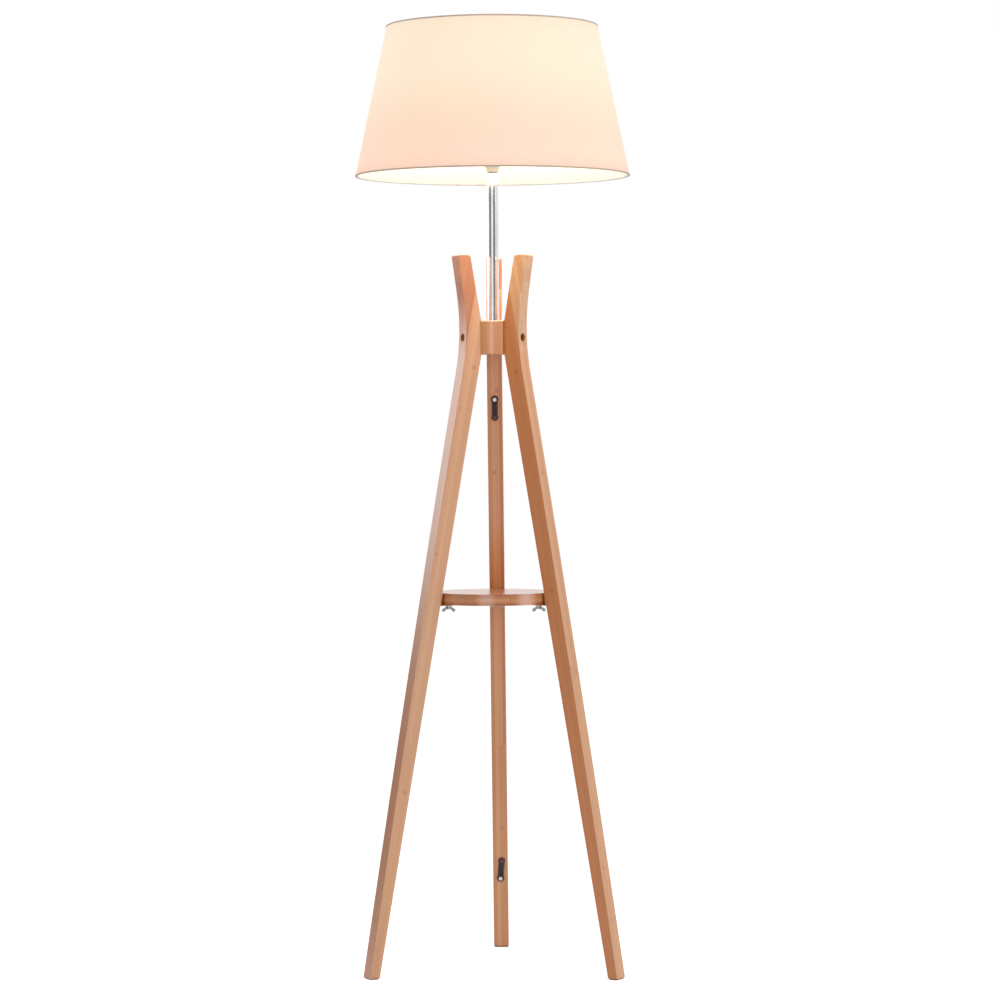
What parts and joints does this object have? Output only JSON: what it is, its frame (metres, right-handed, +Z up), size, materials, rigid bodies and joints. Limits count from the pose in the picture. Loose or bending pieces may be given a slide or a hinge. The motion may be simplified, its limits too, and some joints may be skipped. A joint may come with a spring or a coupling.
{
  "type": "tripod floor lamp",
  "caption": "Floor lamp on bent bamboo legs that meet at a round hub, with a round shelf between them, a chrome stem and a conical fabric shade.",
  "frame": {"origin": "on the floor, on the axis of the stem, hub, shelf and shade", "axes": "+Z up along the stem; +Y towards the rear leg; +X towards the right leg's side, seen from the front"},
  "size_m": [0.451, 0.4618, 1.5465],
  "materials": {
    "leg_bamboo": "varnished laminated bamboo, satin",
    "hub_bamboo": "varnished laminated bamboo, polished",
    "shelf_bamboo": "varnished laminated bamboo, polished",
    "felt": "dark felt",
    "dark_steel": "dark bronzed steel",
    "bracket_steel": "dark brown paint, satin",
    "zinc": "bright zinc plating",
    "wing_nut_zinc": "bright plating",
    "brass": "turned brass",
    "strap": "dark soft strap",
    "chrome": "polished chrome",
    "ivory_plastic": "ivory thermoset, satin",
    "porcelain": "white porcelain, glazed",
    "opal_glass": "opal glass, matt",
    "bulb_metal": "bright screw cap",
    "dark_glaze": "black vitrite and tin end contact",
    "white_wire": "white coating on steel wire",
    "shade_fabric": "plain weave on a stiff translucent lining"
  },
  "bodies": {
    "base": {"leg_left": "leg_bamboo", "leg_right": "leg_bamboo", "leg_rear": "leg_bamboo", "foot_pad_left": "felt", "foot_pad_right": "felt", "foot_pad_rear": "felt", "hub": "hub_bamboo", "leg_bolt_left": "dark_steel", "leg_bolt_right": "dark_steel", "leg_bolt_rear": "dark_steel", "leg_washer_left": "dark_steel", "leg_washer_right": "dark_steel", "leg_washer_rear": "dark_steel", "hub_insert_left": "brass", "hub_insert_right": "brass", "hub_insert_rear": "brass", "shelf": "shelf_bamboo", "shelf_bracket_left": "bracket_steel", "shelf_bracket_right": "bracket_steel", "shelf_bracket_rear": "bracket_steel", "bracket_screws_left": "zinc", "bracket_screws_right": "zinc", "bracket_screws_rear": "zinc", "shelf_stud_left": "zinc", "shelf_stud_right": "zinc", "shelf_stud_rear": "zinc", "strap_screw_upper": "zinc", "strap_screw_lower": "zinc", "stem_tube": "chrome", "stem_bush_lower": "zinc", "stem_bush_upper": "zinc", "stem_nipple": "zinc", "stem_nut": "zinc", "stem_washer": "zinc", "cord_bushing": "ivory_plastic", "holder_nipple": "zinc", "holder_cap": "ivory_plastic", "holder_skirt": "ivory_plastic", "porcelain_insert": "porcelain", "screw_shell": "brass", "centre_contact": "brass"},
    "strap_upper": {"cord_strap_upper": "strap"},
    "strap_lower": {"cord_strap_lower": "strap"},
    "nut_washer_left": {"stud_washer_left": "zinc"},
    "nut_left": {"wing_nut_left": "wing_nut_zinc"},
    "nut_washer_right": {"stud_washer_right": "zinc"},
    "nut_right": {"wing_nut_right": "wing_nut_zinc"},
    "nut_washer_rear": {"stud_washer_rear": "zinc"},
    "nut_rear": {"wing_nut_rear": "wing_nut_zinc"},
    "bulb_end": {"bulb_tip": "dark_glaze"},
    "bulb": {"bulb_glass": "opal_glass", "bulb_cap": "bulb_metal"},
    "shade": {"shade_fitter": "white_wire", "shade_frame": "white_wire", "shade_top_ring": "white_wire", "shade_fabric": "shade_fabric"},
    "clamp": {"clamp_ring": "ivory_plastic"}
  },
  "joints": [
    {"name": "strap_upper_swivel", "type": "hinge", "parent": "base", "child": "strap_upper", "pos_m": [0, 0.04274, 0.934], "axis": [0, -0.9825, -0.1861], "range_deg": [-90, 90]},
    {"name": "strap_lower_swivel", "type": "hinge", "parent": "base", "child": "strap_lower", "pos_m": [0, 0.19676, 0.121], "axis": [0, -0.9825, -0.1861], "range_deg": [-90, 90]},
    {"name": "washer_left_drop", "type": "slide", "parent": "base", "child": "nut_washer_left", "axis": [0, 0, -1], "range_m": [0, 0.0024]},
    {"name": "wing_nut_left_turn", "type": "hinge", "parent": "nut_washer_left", "child": "nut_left", "pos_m": [-0.07358, -0.04248, 0.5965], "axis": [0, 0, -1], "range_deg": [0, 1080]},
    {"name": "washer_right_drop", "type": "slide", "parent": "base", "child": "nut_washer_right", "axis": [0, 0, -1], "range_m": [0, 0.0024]},
    {"name": "wing_nut_right_turn", "type": "hinge", "parent": "nut_washer_right", "child": "nut_right", "pos_m": [0.07358, -0.04248, 0.5965], "axis": [0, 0, -1], "range_deg": [0, 1080]},
    {"name": "washer_rear_drop", "type": "slide", "parent": "base", "child": "nut_washer_rear", "axis": [0, 0, -1], "range_m": [0, 0.0024]},
    {"name": "wing_nut_rear_turn", "type": "hinge", "parent": "nut_washer_rear", "child": "nut_rear", "pos_m": [0, 0.08496, 0.5965], "axis": [0, 0, -1], "range_deg": [0, 1080]},
    {"name": "bulb_rise", "type": "slide", "parent": "base", "child": "bulb_end", "axis": [0, 0, 1], "range_m": [0, 0.01086]},
    {"name": "bulb_turn", "type": "hinge", "parent": "bulb_end", "child": "bulb", "pos_m": [0, 0, 1.33], "axis": [0, 0, 1], "range_deg": [0, 1080]},
    {"name": "shade_turn", "type": "hinge", "parent": "base", "child": "shade", "pos_m": [0, 0, 1.333], "axis": [0, 0, 1], "continuous": true},
    {"name": "clamp_ring_turn", "type": "hinge", "parent": "base", "child": "clamp", "pos_m": [0, 0, 1.336], "axis": [0, 0, 1], "range_deg": [0, 720]}
  ],
  "couplings": [
    {"joint": "washer_left_drop", "follows": "wing_nut_left_turn", "m_per_rad": 0.00012732},
    {"joint": "washer_right_drop", "follows": "wing_nut_right_turn", "m_per_rad": 0.00012732},
    {"joint": "washer_rear_drop", "follows": "wing_nut_rear_turn", "m_per_rad": 0.00012732},
    {"joint": "bulb_rise", "follows": "bulb_turn", "m_per_rad": 0.00057614}
  ]
}
